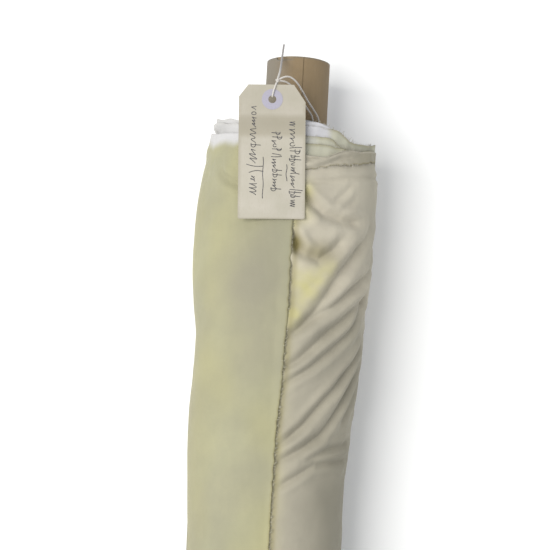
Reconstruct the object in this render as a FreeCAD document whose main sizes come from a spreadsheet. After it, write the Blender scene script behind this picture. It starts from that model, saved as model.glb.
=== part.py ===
"""Fabric bolt: 13.5 m of furnishing velvet wound on a cardboard tube, lying on its side, with a strung tag.

Millimetres. +Z up, +Y along the roll towards the tagged end, +X to the right of the free cloth edge.
The origin is on the surface that the roll lies on, under the tube's axis and half way along the cloth.
"""

import FreeCAD, Part

import math
import os

import Sketcher

V = FreeCAD.Vector

# ---------------------------------------------------------------- driving dimensions

DIMENSIONS = {
    # the cloth
    "cloth_width": 1370.0,  # selvedge to selvedge, 54 inch furnishing cloth
    "axis_height": 64.0,  # less than the outer turn's radius: the roll flattens where it lies
    "waist_radius": 57.0,  # the inner turns, wound tight
    "shoulder_radius": 64.5,
    "flare_radius": 65.5,  # the inner turns at the selvedges, which build up thicker
    "shoulder_along": 560.0,
    "waist_along": 380.0,
    "roll_radius": 67.0,  # the outer turn
    "ply": 1.2,  # one loose layer of velvet with its pile
    "turn_end": 640.0,  # the outer turn has slipped back from the tagged end
    "turn_start": -12.0,  # where the outer turn comes out from under the free end
    "bulge": 7.0,  # the slack free end bellies out to the left by this much more
    "free_radius": 70.0,
    "free_edge": 2.0,  # the cut edge lies a little past the crown
    "free_top": 658.0,  # where the free end's pile stops at the tagged end
    "free_split": 150.0,  # the free end lifts below here and is pinned by the tag above
    "gap": 0.5,
    # the tube
    "core_length": 1478.0,
    "core_bore": 23.5,
    "core_body": 25.6,
    "core_outside": 26.2,
    "seam_width": 1.0,
    "seam_angle": 9.0,
    "tape_ply": 0.15,
    "tape_width": 50.0,
    "tape_sweep": 60.0,
    "tape_pitch": 450.0,
    "first_turn": 26.5,
    # the tag, measured from the knot
    "knot_across": -16.7,
    "knot_along": 707.9,
    "knot_height": 131.6,
    "knot_radius": 1.9,
    "tag_turn": 2.7,  # degrees that the tag lies off the roll's axis
    "tag_wide": 54.0,
    "tag_long": 111.0,
    "tag_ply": 0.5,
    "tag_shift": -4.0,
    "tag_top": 3.5,
    "bend_start": 27.0,
    "bend_run": 18.0,
    "bend_angle": 24.5,
    "clip_left_wide": 7.5,
    "clip_left_down": 10.0,
    "clip_right_wide": 9.5,
    "clip_right_down": 14.5,
    "hole_radius": 3.25,
    "hole_down": 12.2,
    "ring_radius": 8.5,
    "ring_ply": 0.2,
    "string": 1.2,
    "string_gap": 0.15,  # between two strands, or a strand and the hole's edge
    "loop_gap": 0.3,  # between the bight and the rings
    "cut_past": 10.0,  # how far a cut runs past what it cuts
}

doc = FreeCAD.newDocument("fabric_bolt")
sheet = doc.addObject("Spreadsheet::Sheet", "dims")
for row, (alias, value) in enumerate(DIMENSIONS.items(), start=1):
    sheet.set(f"A{row}", alias)
    sheet.set(f"B{row}", str(value))
    sheet.setAlias(f"B{row}", alias)
doc.recompute()


def dim(alias):
    return float(sheet.get(alias))


# ---------------------------------------------------------------- helpers

sub_parts = []


def sub_part(obj, label):
    """Names an object as one of the pieces that are written out."""
    obj.Label = label
    sub_parts.append(obj)
    return obj


def new_body(label, along="0", height="dims.axis_height", across="0"):
    """A PartDesign body whose Placement follows the sheet."""
    body = doc.addObject("PartDesign::Body", label)
    body.setExpression("Placement.Base.x", across)
    body.setExpression("Placement.Base.y", along)
    body.setExpression("Placement.Base.z", height)
    return sub_part(body, label)


def new_sketch(body, role, name):
    plane = next(f for f in body.Origin.OriginFeatures if f.Role == role)
    sketch = body.newObject("Sketcher::SketchObject", name)
    sketch.AttachmentSupport = [(plane, "")]
    sketch.MapMode = "FlatFace"
    return sketch


def bind(sketch, constraint, expression):
    """Adds a constraint and ties its value to the sheet."""
    number = sketch.addConstraint(constraint)
    sketch.setExpression(f"Constraints[{number}]", expression)
    return number


def circle(sketch, radius_name):
    """A circle about the sketch's origin, with its radius from the sheet."""
    found = sketch.addGeometry(Part.Circle(V(0, 0, 0), V(0, 0, 1), dim(radius_name)), False)
    sketch.addConstraint(Sketcher.Constraint("Coincident", found, 3, -1, 1))
    bind(sketch, Sketcher.Constraint("Radius", found, dim(radius_name)), f"dims.{radius_name}")
    return found


def line(sketch, a, b):
    return sketch.addGeometry(Part.LineSegment(V(a[0], a[1], 0), V(b[0], b[1], 0)), False)


def arc(sketch, centre, radius, start, end):
    """An arc that runs anticlockwise from the point start to the point end."""
    a0 = math.atan2(start[1] - centre[1], start[0] - centre[0])
    a1 = math.atan2(end[1] - centre[1], end[0] - centre[0])
    if a1 < a0:
        a1 += 2 * math.pi
    round_line = Part.Circle(V(centre[0], centre[1], 0), V(0, 0, 1), radius)
    return sketch.addGeometry(Part.ArcOfCircle(round_line, a0, a1), False)


def join(sketch, a, a_end, b, b_end):
    sketch.addConstraint(Sketcher.Constraint("Coincident", a, a_end, b, b_end))


def fix_centre(sketch, found, across):
    """Puts an arc's centre on the sketch's horizontal axis, at the expression across."""
    if across is None:
        sketch.addConstraint(Sketcher.Constraint("Coincident", found, 3, -1, 1))
        return
    sketch.addConstraint(Sketcher.Constraint("PointOnObject", found, 3, -1))
    bind(sketch, Sketcher.Constraint("DistanceX", found, 3, -1, 1, dim("bulge")), across)


def fix_radius(sketch, found, value, expression):
    bind(sketch, Sketcher.Constraint("Radius", found, value), expression)


def block(sketch, half, low, high, high_rule=None):
    """A rectangle centred on the vertical axis; high_rule ties its upper side to the sheet."""
    corners = [(-half, low), (half, low), (half, high), (-half, high)]
    sides = [line(sketch, corners[k], corners[(k + 1) % 4]) for k in range(4)]
    for k in range(4):
        join(sketch, sides[k], 2, sides[(k + 1) % 4], 1)
    for side, kind in zip(sides[1:], ("Vertical", "Horizontal", "Vertical")):
        sketch.addConstraint(Sketcher.Constraint(kind, side))
    sketch.addConstraint(Sketcher.Constraint("Symmetric", sides[0], 1, sides[0], 2, -2))
    sketch.addConstraint(Sketcher.Constraint("DistanceY", sides[0], 1, sides[2], 2, high - low))
    level = sketch.addConstraint(Sketcher.Constraint("DistanceY", -1, 1, sides[2], 1, high))
    if high_rule:
        sketch.setExpression(f"Constraints[{level}]", high_rule)
    return sides[0], sketch.addConstraint(Sketcher.Constraint("DistanceX", sides[0], 1, sides[0], 2, 2 * half))


def pad(body, sketch, length, value):
    """Extrudes a sketch the same distance each way."""
    found = body.newObject("PartDesign::Pad", f"{body.Name}_pad")
    found.Profile = sketch
    found.Length = value
    found.setExpression("Length", length)
    found.SideType = "Symmetric"
    body.Tip = found
    return found


def pocket(body, sketch, length):
    """Cuts a sketch through, the same distance each way."""
    found = body.newObject("PartDesign::Pocket", f"{sketch.Name}_cut")
    found.Profile = sketch
    found.Length = length
    found.SideType = "Symmetric"
    body.Tip = found
    return found


# ---------------------------------------------------------------- the tube


def build_core_tube():
    """The tube's structural board plies, a plain hollow cylinder."""
    body = new_body("core_tube")
    sketch = new_sketch(body, "XZ_Plane", "core_section")
    circle(sketch, "core_bore")
    circle(sketch, "core_body")
    pad(body, sketch, "dims.core_length", dim("core_length"))


def build_core_outer_ply():
    """The thin kraft wrap glued round the board, with the open joint where its two edges meet."""
    body = new_body("core_outer_ply")
    sketch = new_sketch(body, "XZ_Plane", "wrap_section")
    circle(sketch, "core_body")
    circle(sketch, "core_outside")
    pad(body, sketch, "dims.core_length", dim("core_length"))
    doc.recompute()
    slot = new_sketch(body, "XZ_Plane", "wrap_joint")
    past = dim("cut_past")
    low, high = dim("core_body") - past, dim("core_outside") + past
    _, width_rule = block(slot, dim("seam_width") / 2, low, high)
    slot.setExpression(f"Constraints[{width_rule}]", "dims.seam_width")
    pocket(body, slot, dim("core_length") + 2 * past)
    body.setExpression("Placement.Rotation.Axis.y", "1")
    body.setExpression("Placement.Rotation.Axis.z", "0")
    body.setExpression("Placement.Rotation.Angle", "dims.seam_angle")


def build_start_tape():
    """Three strips of masking tape that hold the first turn of cloth to the tube."""
    strips = []
    for k in (-1, 0, 1):
        outer = doc.addObject("Part::Cylinder", f"tape_outer_{k + 1}")
        inner = doc.addObject("Part::Cylinder", f"tape_inner_{k + 1}")
        outer.setExpression("Radius", "dims.core_outside + dims.tape_ply")
        inner.setExpression("Radius", "dims.core_outside")
        for tube in (outer, inner):
            tube.setExpression("Height", "dims.tape_width")
            tube.setExpression("Angle", "dims.tape_sweep")
            tube.Placement = FreeCAD.Placement(V(0, 0, 0), FreeCAD.Rotation(V(1, 0, 0), 90))
            tube.setExpression("Placement.Base.y", f"{k} * dims.tape_pitch + dims.tape_width / 2")
            tube.setExpression("Placement.Base.z", "dims.axis_height")
        strip = doc.addObject("Part::Cut", f"tape_strip_{k + 1}")
        strip.Base = outer
        strip.Tool = inner
        strips.append(strip)
    group = doc.addObject("Part::Compound", "core_start_tape")
    group.Links = strips
    sub_part(group, "core_start_tape")


# ---------------------------------------------------------------- the cloth


def build_windings():
    """All the inner turns as one solid: a waist between two flared ends, cut flat where the ends lie."""
    body = new_body("velvet_windings")
    profile = new_sketch(body, "YZ_Plane", "windings_profile")
    # Half of the outline, as (along, radius) names; the other half mirrors it.
    half = [
        ("cloth_width / 2", "first_turn"),
        ("cloth_width / 2", "flare_radius"),
        ("shoulder_along", "shoulder_radius"),
        ("waist_along", "waist_radius"),
    ]
    places = [(dim("cloth_width") / 2 if "/" in along else dim(along), dim(radius)) for along, radius in half]
    points = places + [(-along, radius) for along, radius in reversed(places)]
    count = len(points)
    sides = [line(profile, points[k], points[(k + 1) % count]) for k in range(count)]
    for k in range(count):
        join(profile, sides[k], 2, sides[(k + 1) % count], 1)
    for k, (along, radius) in enumerate(half):
        along_rule = Sketcher.Constraint("DistanceX", -1, 1, sides[k], 1, places[k][0])
        radius_rule = Sketcher.Constraint("DistanceY", -1, 1, sides[k], 1, places[k][1])
        bind(profile, along_rule, f"dims.{along}")
        bind(profile, radius_rule, f"dims.{radius}")
        profile.addConstraint(Sketcher.Constraint("Symmetric", sides[k], 1, sides[count - 1 - k], 1, -2))
    turned = body.newObject("PartDesign::Revolution", "windings_turned")
    turned.Profile = profile
    turned.ReferenceAxis = (profile, ["H_Axis"])
    turned.Angle = 360
    body.Tip = turned
    doc.recompute()
    whole = body.Shape.Volume
    depth = dim("axis_height") - dim("ply")
    below = new_sketch(body, "XZ_Plane", "windings_flat")
    past = dim("cut_past")
    block(below, dim("roll_radius"), -depth - past, -depth, "dims.ply - dims.axis_height")
    pocket(body, below, dim("cloth_width") + 2 * past)
    doc.recompute()
    if body.Shape.Volume >= whole:
        raise RuntimeError("the flat under the windings cut nothing")


def build_outer_turn():
    """The last full turn: from under the free end, down the right side, flat underneath, up the slack left side."""
    body = new_body("velvet_outer_turn", "(dims.turn_end - dims.cloth_width / 2) / 2")
    sketch = new_sketch(body, "XZ_Plane", "turn_section")
    ply, bulge = dim("ply"), dim("bulge")
    sides = []
    for inset, inset_name in ((0.0, ""), (ply, " - dims.ply")):
        tight = dim("roll_radius") - inset
        slack = dim("free_radius") - inset
        depth = dim("axis_height") - inset
        top = (dim("turn_start"), math.sqrt(tight**2 - dim("turn_start") ** 2))
        right = (math.sqrt(tight**2 - depth**2), -depth)
        left = (-bulge - math.sqrt(slack**2 - depth**2), -depth)
        end = (-bulge - math.sqrt(slack**2 - dim("gap") ** 2), -dim("gap"))
        tight_arc = arc(sketch, (0, 0), tight, right, top)
        flat = line(sketch, left, right)
        slack_arc = arc(sketch, (-bulge, 0), slack, end, left)
        fix_centre(sketch, tight_arc, None)
        fix_centre(sketch, slack_arc, "dims.bulge")
        fix_radius(sketch, tight_arc, tight, f"dims.roll_radius{inset_name}")
        fix_radius(sketch, slack_arc, slack, f"dims.free_radius{inset_name}")
        join(sketch, slack_arc, 2, flat, 1)
        join(sketch, flat, 2, tight_arc, 1)
        sketch.addConstraint(Sketcher.Constraint("Horizontal", flat))
        depth_rule = Sketcher.Constraint("DistanceY", flat, 1, -1, 1, depth)
        bind(sketch, depth_rule, f"dims.axis_height{inset_name}")
        sides.append((tight_arc, slack_arc, top, end))
    (outer_tight, outer_slack, top, end), (inner_tight, inner_slack, inner_top, inner_end) = sides
    start_edge = line(sketch, top, inner_top)
    stop_edge = line(sketch, end, inner_end)
    join(sketch, outer_tight, 2, start_edge, 1)
    join(sketch, start_edge, 2, inner_tight, 2)
    join(sketch, outer_slack, 1, stop_edge, 1)
    join(sketch, stop_edge, 2, inner_slack, 1)
    sketch.addConstraint(Sketcher.Constraint("Vertical", start_edge))
    sketch.addConstraint(Sketcher.Constraint("Horizontal", stop_edge))
    start_rule = Sketcher.Constraint("DistanceX", start_edge, 1, -1, 1, -dim("turn_start"))
    bind(sketch, start_rule, "-dims.turn_start")
    bind(sketch, Sketcher.Constraint("DistanceY", stop_edge, 1, -1, 1, dim("gap")), "dims.gap")
    pad(body, sketch, "dims.turn_end + dims.cloth_width / 2", dim("turn_end") + dim("cloth_width") / 2)


def build_free_end(label, start, stop):
    """A stretch of the cloth's free end, an arched strip from the left side to the cut edge on the crown."""
    low, high = (dim(name) if name in DIMENSIONS else None for name in (start, stop))
    low_rule, high_rule = f"dims.{start}", f"dims.{stop}"
    if low is None:
        low, low_rule = -dim("cloth_width") / 2, "-dims.cloth_width / 2"
    else:
        low, low_rule = low + dim("gap"), f"{low_rule} + dims.gap"
    body = new_body(label, f"({low_rule} + {high_rule}) / 2")
    sketch = new_sketch(body, "XZ_Plane", f"{label}_section")
    bulge, edge = dim("bulge"), dim("free_edge")
    ends = []
    for inset, inset_name in ((0.0, ""), (dim("ply"), " - dims.ply")):
        radius = dim("free_radius") - inset
        crown = (edge, math.sqrt(radius**2 - (edge + bulge) ** 2))
        hinge = (-bulge - radius, 0.0)
        found = arc(sketch, (-bulge, 0), radius, crown, hinge)
        fix_centre(sketch, found, "dims.bulge")
        fix_radius(sketch, found, radius, f"dims.free_radius{inset_name}")
        sketch.addConstraint(Sketcher.Constraint("PointOnObject", found, 2, -1))
        ends.append((found, crown, hinge))
    (outer, crown, hinge), (inner, inner_crown, inner_hinge) = ends
    cut_edge = line(sketch, crown, inner_crown)
    root_edge = line(sketch, hinge, inner_hinge)
    join(sketch, outer, 1, cut_edge, 1)
    join(sketch, cut_edge, 2, inner, 1)
    join(sketch, outer, 2, root_edge, 1)
    join(sketch, root_edge, 2, inner, 2)
    sketch.addConstraint(Sketcher.Constraint("Vertical", cut_edge))
    bind(sketch, Sketcher.Constraint("DistanceX", -1, 1, cut_edge, 1, edge), "dims.free_edge")
    pad(body, sketch, f"{high_rule} - ({low_rule})", high - low)


# ---------------------------------------------------------------- the tag


def place_on_knot(body):
    """Turns a tag piece about the knot, which is its origin."""
    body.setExpression("Placement.Rotation.Axis.z", "1")
    body.setExpression("Placement.Rotation.Angle", "dims.tag_turn")


def bend_radius():
    return dim("bend_run") / (2 * math.sin(math.radians(dim("bend_angle"))))


def bend_drop():
    return 2 * bend_radius() * (1 - math.cos(math.radians(dim("bend_angle"))))


def build_tag_card():
    """A manila card with clipped corners, which steps down where it overhangs the end of the cloth."""
    body = new_body("tag_card", "dims.knot_along", "dims.knot_height", "dims.knot_across")
    side = new_sketch(body, "YZ_Plane", "tag_side")
    half = dim("tag_ply") / 2
    radius, drop, run = bend_radius(), bend_drop(), dim("bend_run")
    top, low = -dim("tag_top"), -dim("bend_start")
    bottom = top - dim("tag_long")
    middle, far = (low - run / 2, drop / 2), (low - run, drop)
    rise = math.radians(dim("bend_angle"))
    faces = []
    for side_of in (1, -1):
        first_radius, second_radius = radius - side_of * half, radius + side_of * half
        shift = (side_of * half * math.sin(rise), side_of * half * math.cos(rise))
        knee = (middle[0] + shift[0], middle[1] + shift[1])
        lower_end = (low, side_of * half)
        upper_end = (far[0], far[1] + side_of * half)
        flat_top = line(side, (top, side_of * half), lower_end)
        rising = arc(side, (low, radius), first_radius, knee, lower_end)
        falling = arc(side, (far[0], far[1] - radius), second_radius, knee, upper_end)
        flat_bottom = line(side, upper_end, (bottom, drop + side_of * half))
        faces.append((flat_top, rising, falling, flat_bottom))
        join(side, flat_top, 2, rising, 2)
        join(side, rising, 1, falling, 1)
        join(side, falling, 2, flat_bottom, 1)
    top_edge = line(side, (top, half), (top, -half))
    bottom_edge = line(side, (bottom, drop + half), (bottom, drop - half))
    (top_a, _, _, bottom_a), (top_b, _, _, bottom_b) = faces
    join(side, top_edge, 1, top_a, 1)
    join(side, top_edge, 2, top_b, 1)
    join(side, bottom_edge, 1, bottom_a, 2)
    join(side, bottom_edge, 2, bottom_b, 2)
    for flat in (top_a, top_b, bottom_a, bottom_b):
        side.addConstraint(Sketcher.Constraint("Horizontal", flat))
    for edge in (top_edge, bottom_edge):
        side.addConstraint(Sketcher.Constraint("Vertical", edge))
    bind(side, Sketcher.Constraint("DistanceY", top_edge, 2, top_edge, 1, 2 * half), "dims.tag_ply")
    bind(side, Sketcher.Constraint("DistanceX", top_edge, 1, -1, 1, -top), "dims.tag_top")
    long_rule = Sketcher.Constraint("DistanceX", bottom_edge, 1, top_edge, 1, top - bottom)
    bind(side, long_rule, "dims.tag_long")
    pad(body, side, "dims.tag_wide", dim("tag_wide"))
    doc.recompute()
    trim_tag(body)
    place_on_knot(body)
    body.setExpression("Placement.Base.x", "dims.knot_across + dims.tag_shift * cos(dims.tag_turn * 1 deg)")
    body.setExpression("Placement.Base.y", "dims.knot_along + dims.tag_shift * sin(dims.tag_turn * 1 deg)")


def trim_tag(body):
    """Clips the two top corners and punches the string hole."""
    half, top = dim("tag_wide") / 2, -dim("tag_top")
    for hand, clip_name in ((-1, "clip_left"), (1, "clip_right")):
        wide, down = f"{clip_name}_wide", f"{clip_name}_down"
        cut = new_sketch(body, "XY_Plane", clip_name)
        inner = (hand * (half - dim(wide)), top)
        lower = (hand * half, top - dim(down))
        corner = (hand * half, top)
        sides = [line(cut, inner, corner), line(cut, corner, lower), line(cut, lower, inner)]
        for k in range(3):
            join(cut, sides[k], 2, sides[(k + 1) % 3], 1)
        cut.addConstraint(Sketcher.Constraint("Horizontal", sides[0]))
        cut.addConstraint(Sketcher.Constraint("Vertical", sides[1]))
        bind(cut, Sketcher.Constraint("DistanceY", sides[1], 1, -1, 1, -top), "dims.tag_top")
        bind(cut, Sketcher.Constraint("DistanceY", sides[1], 2, sides[1], 1, dim(down)), f"dims.{down}")
        ends = (sides[0], 1, sides[0], 2) if hand > 0 else (sides[0], 2, sides[0], 1)
        bind(cut, Sketcher.Constraint("DistanceX", *ends, dim(wide)), f"dims.{wide}")
        across = (-1, 1, sides[0], 2) if hand > 0 else (sides[0], 2, -1, 1)
        bind(cut, Sketcher.Constraint("DistanceX", *across, half), "dims.tag_wide / 2")
        pocket(body, cut, 2 * dim("cut_past"))
        doc.recompute()
    hole = new_sketch(body, "XY_Plane", "tag_hole")
    found = hole.addGeometry(Part.Circle(V(0, top - dim("hole_down"), 0), V(0, 0, 1), dim("hole_radius")), False)
    hole.addConstraint(Sketcher.Constraint("PointOnObject", found, 3, -2))
    hole_rule = Sketcher.Constraint("DistanceY", found, 3, -1, 1, -top + dim("hole_down"))
    bind(hole, hole_rule, "dims.tag_top + dims.hole_down")
    bind(hole, Sketcher.Constraint("Radius", found, dim("hole_radius")), "dims.hole_radius")
    pocket(body, hole, 2 * dim("cut_past"))


def build_ring(label, height_rule):
    """A gummed paper washer that stiffens the hole, on one face of the card."""
    body = new_body(label, "0", height_rule)
    body.setExpression("Placement.Base.x", "dims.knot_across + dims.tag_shift * cos(dims.tag_turn * 1 deg)"
                       " + (dims.tag_top + dims.hole_down) * sin(dims.tag_turn * 1 deg)")
    body.setExpression("Placement.Base.y", "dims.knot_along + dims.tag_shift * sin(dims.tag_turn * 1 deg)"
                       " - (dims.tag_top + dims.hole_down) * cos(dims.tag_turn * 1 deg)")
    sketch = new_sketch(body, "XY_Plane", f"{label}_outline")
    circle(sketch, "hole_radius")
    circle(sketch, "ring_radius")
    pad(body, sketch, "dims.ring_ply", dim("ring_ply"))
    place_on_knot(body)


# ---------------------------------------------------------------- the string

# The knot's centre, and unit directions in which the strands leave it.
KNOT = V(dim("knot_across"), dim("knot_along"), dim("knot_height"))
STAND_OFF = dim("knot_radius") + dim("string_gap")
ARC_SHARE = 0.45  # how much of the shorter run the arc at a corner takes


def from_knot(x, y, z):
    """A point just clear of the knot's surface, in the direction given."""
    return KNOT + V(x, y, z).normalize() * STAND_OFF


def tangent_path(points):
    """Straight runs joined by tangent arcs, each as large as its two runs allow, and the smallest radius."""
    edges, here, smallest = [], points[0], math.inf
    for before, corner, after in zip(points, points[1:], points[2:]):
        back, ahead = before - corner, after - corner
        turn = math.pi - back.getAngle(ahead)
        cut = ARC_SHARE * min(back.Length, ahead.Length)
        radius = cut / math.tan(turn / 2)
        smallest = min(smallest, radius)
        entry = corner + V(back).normalize() * cut
        leave = corner + V(ahead).normalize() * cut
        bisector = (V(back).normalize() + V(ahead).normalize()).normalize()
        centre_far = radius / math.cos(turn / 2)
        middle = corner + bisector * (centre_far - radius)
        edges.append(Part.LineSegment(here, entry).toShape())
        edges.append(Part.Arc(entry, middle, leave).toShape())
        here = leave
    edges.append(Part.LineSegment(here, points[-1]).toShape())
    return Part.Wire(edges), smallest


def build_strand(label, points):
    """One stretch of the string as a round tube along its route."""
    path, smallest = tangent_path([V(p) for p in points])
    start = path.Edges[0]
    radius = dim("string") / 2
    ring = Part.Wire([Part.Circle(V(points[0]), start.tangentAt(start.FirstParameter), radius).toShape()])
    tube = path.makePipeShell([ring], True, True)
    strand = doc.addObject("Part::Feature", label)
    strand.Shape = tube
    strand.Placement = FreeCAD.Placement()
    sub_part(strand, label)
    wanted = math.pi * radius**2 * path.Length
    print(f"{label}: {path.Length:.1f} mm long, smallest radius {smallest:.2f} mm,"
          f" volume {tube.Volume / wanted:.4f} of its section times its length")


LEAD_LONG = [
    V(19.4, 685.0, 84.3),
    V(19.0, 688.6, 86.4),
    V(14.8, 692.6, 95.0),
    V(9.2, 698.0, 104.6),
    V(4.2, 704.2, 114.0),
    V(-1.0, 709.8, 122.4),
    V(-6.6, 712.6, 128.4),
    V(-12.0, 711.4, 131.2),
    from_knot(0.78, 0.60, -0.14),
]
LEAD_SHORT = [
    V(14.4, 685.0, 88.1),
    V(13.8, 688.8, 90.6),
    V(9.8, 692.2, 97.6),
    V(4.8, 697.2, 106.2),
    V(-0.4, 702.6, 115.0),
    V(-5.6, 706.8, 123.0),
    V(-10.6, 708.4, 128.6),
    from_knot(0.80, 0.10, -0.58),
]
TAIL = [
    from_knot(0.05, 0.62, -0.78),
    V(-16.0, 712.6, 125.4),
    V(-15.2, 718.0, 116.6),
    V(-14.8, 723.6, 106.4),
    V(-14.4, 729.8, 96.8),
    V(-14.0, 738.6, 90.0),
    V(-13.2, 748.8, 87.6),
]


def build_loop():
    """The bight of string through the tag's hole, round the card's top edge and back to the knot."""
    turn = FreeCAD.Rotation(V(0, 0, 1), dim("tag_turn"))
    lift = dim("tag_ply") / 2 + dim("ring_ply") + dim("string") / 2 + dim("loop_gap")
    hole_top = -dim("tag_top") - dim("hole_down") + dim("hole_radius")
    shift = dim("tag_shift")
    inside = hole_top - dim("string") / 2 - dim("string_gap")
    local = [
        V(-0.75, -1.9, 0.4),
        V(-1.6, -4.6, lift - 0.1),
        V(-3.0, -8.4, lift + 0.05),
        V(shift, inside, lift),
        V(shift, inside, -lift),
        V(-3.5, -10.4, -lift - 2.2),
        V(-2.4, -8.2, -lift - 6.2),
        V(-0.8, -3.6, -lift - 5.8),
        V(-0.1, -1.3, -1.7),
    ]
    build_strand("tag_string_loop", [KNOT + turn.multVec(p) for p in local])


def build_knot():
    knot = doc.addObject("Part::Sphere", "tag_string_knot")
    knot.setExpression("Radius", "dims.knot_radius")
    for axis, name in (("x", "across"), ("y", "along"), ("z", "height")):
        knot.setExpression(f"Placement.Base.{axis}", f"dims.knot_{name}")
    sub_part(knot, "tag_string_knot")


# ---------------------------------------------------------------- the whole bolt

build_core_tube()
build_core_outer_ply()
build_start_tape()
build_windings()
build_outer_turn()
build_free_end("velvet_free_end_pinned", "free_split", "free_top")
build_free_end("velvet_free_end", None, "free_split")
build_tag_card()
build_ring("tag_ring_front", "dims.knot_height + dims.tag_ply / 2 + dims.ring_ply / 2")
build_ring("tag_ring_back", "dims.knot_height - dims.tag_ply / 2 - dims.ring_ply / 2")
build_knot()
build_strand("tag_string_lead_long", LEAD_LONG)
build_strand("tag_string_lead_short", LEAD_SHORT)
build_strand("tag_string_tail", TAIL)
build_loop()
doc.recompute()

for obj in doc.Objects:
    if "Invalid" in obj.State or "Error" in obj.State:
        raise RuntimeError(f"{obj.Label} failed: {obj.State}")
os.makedirs("parts", exist_ok=True)
for piece in sub_parts:
    shape = piece.Shape
    if shape.isNull() or not shape.isValid():
        raise RuntimeError(f"{piece.Label} has no valid shape")
    box = shape.BoundBox
    print(f"{piece.Label}: {len(shape.Solids)} solid, {shape.Volume / 1000:.3f} cm3,"
          f" X {box.XMin:.2f} {box.XMax:.2f} Y {box.YMin:.2f} {box.YMax:.2f} Z {box.ZMin:.2f} {box.ZMax:.2f}")
    shape.exportStep(f"parts/{piece.Label}.step")
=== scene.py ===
"""Looks for the fabric bolt: a roll of pale yellow velvet on a cardboard tube, with a strung card tag."""

import math

import bmesh
import bpy
import numpy as np
from mathutils import Matrix, Vector


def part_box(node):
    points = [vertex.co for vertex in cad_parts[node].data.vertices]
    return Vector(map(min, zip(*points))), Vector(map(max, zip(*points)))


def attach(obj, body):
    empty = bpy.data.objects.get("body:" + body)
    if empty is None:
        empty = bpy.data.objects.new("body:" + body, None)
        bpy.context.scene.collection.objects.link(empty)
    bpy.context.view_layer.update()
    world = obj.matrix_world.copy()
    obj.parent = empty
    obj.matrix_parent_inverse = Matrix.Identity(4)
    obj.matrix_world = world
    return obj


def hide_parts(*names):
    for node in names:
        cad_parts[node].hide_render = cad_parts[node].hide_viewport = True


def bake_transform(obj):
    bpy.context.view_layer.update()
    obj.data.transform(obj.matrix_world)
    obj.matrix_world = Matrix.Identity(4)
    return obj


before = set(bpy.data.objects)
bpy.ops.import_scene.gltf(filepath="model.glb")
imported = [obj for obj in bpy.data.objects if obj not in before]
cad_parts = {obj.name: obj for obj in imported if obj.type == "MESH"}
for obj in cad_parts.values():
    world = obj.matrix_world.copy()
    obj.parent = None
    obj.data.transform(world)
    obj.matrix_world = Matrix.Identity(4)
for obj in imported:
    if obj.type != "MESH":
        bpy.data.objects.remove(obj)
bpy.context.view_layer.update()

# ---------------------------------------------------------------- sizes, in metres, read off the frame

MM = 0.001
tube_low, tube_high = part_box("core_outer_ply")
AXIS = (tube_low.z + tube_high.z) / 2
CLOTH_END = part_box("velvet_windings")[1].y
TUBE_END = tube_high.y
TUBE_RADIUS = tube_high.x
CAMERA_DISTANCE = 1.9
X_WAY, Y_WAY, Z_WAY = np.eye(3)

# Thicknesses of the sheets as drawn.
WOUND_PLY = 0.0005
LOOSE_PLY = 0.0008
SLACK_PLY = 0.0010
WRAP_PLY = 0.00055
CARD_PLY = 0.0005


def mm(*values):
    """A point given in millimetres."""
    return Vector(values) * MM


def add_object(name, data):
    """Puts an object with this data into the scene."""
    made = bpy.data.objects.new(name, data)
    bpy.context.scene.collection.objects.link(made)
    return made


# ---------------------------------------------------------------- camera, light and floor


def build_camera():
    """Almost straight down on the tagged end, tilted a little towards it and turned a little."""
    target = mm(-9.6, 558.1, 64.0)
    tilt, turn = math.radians(82.0), math.radians(3.3)
    ahead = Vector((0, math.cos(tilt), -math.sin(tilt)))
    right = Vector((1, 0, 0))
    up = right.cross(ahead)
    side = right * math.cos(turn) + up * math.sin(turn)
    top = up * math.cos(turn) - right * math.sin(turn)
    data = bpy.data.cameras.new("camera")
    data.lens = 149.5
    data.clip_end = 20
    camera = add_object("camera", data)
    axes = Matrix((side, top, -ahead)).transposed().to_4x4()
    camera.matrix_world = Matrix.Translation(target - ahead * CAMERA_DISTANCE) @ axes
    bpy.context.scene.camera = camera


def area_light(name, at, aim, size, power, colour):
    data = bpy.data.lights.new(name, "AREA")
    data.shape = "RECTANGLE"
    data.size, data.size_y = size
    data.energy = power
    data.color = colour
    lamp = add_object(name, data)
    lamp.location = at
    lamp.rotation_euler = (Vector(aim) - Vector(at)).to_track_quat("-Z", "Y").to_euler()


def build_stage():
    """A white floor, an even white surround and one large soft light from the upper left."""
    world = bpy.data.worlds.new("surround")
    world.use_nodes = True
    world.node_tree.nodes["Background"].inputs[0].default_value = (0.95, 0.975, 1.0, 1)
    world.node_tree.nodes["Background"].inputs[1].default_value = 0.73
    bpy.context.scene.world = world
    area_light("window", (-1.22, 0.40, 2.32), (0, 0.45, 0), (1.4, 1.9), 66, (1.0, 0.985, 0.95))
    bpy.ops.mesh.primitive_plane_add(size=14)
    floor = bpy.context.object
    floor.name = "floor"
    paint = Shader("floor_white")
    paint.surface(roughness=0.9)
    paint.bsdf.inputs["Base Color"].default_value = (0.94, 0.94, 0.94, 1)
    floor.data.materials.append(paint.material)
    scene = bpy.context.scene
    scene.view_settings.view_transform = "Standard"
    scene.view_settings.look = "None"


# ---------------------------------------------------------------- materials


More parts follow.
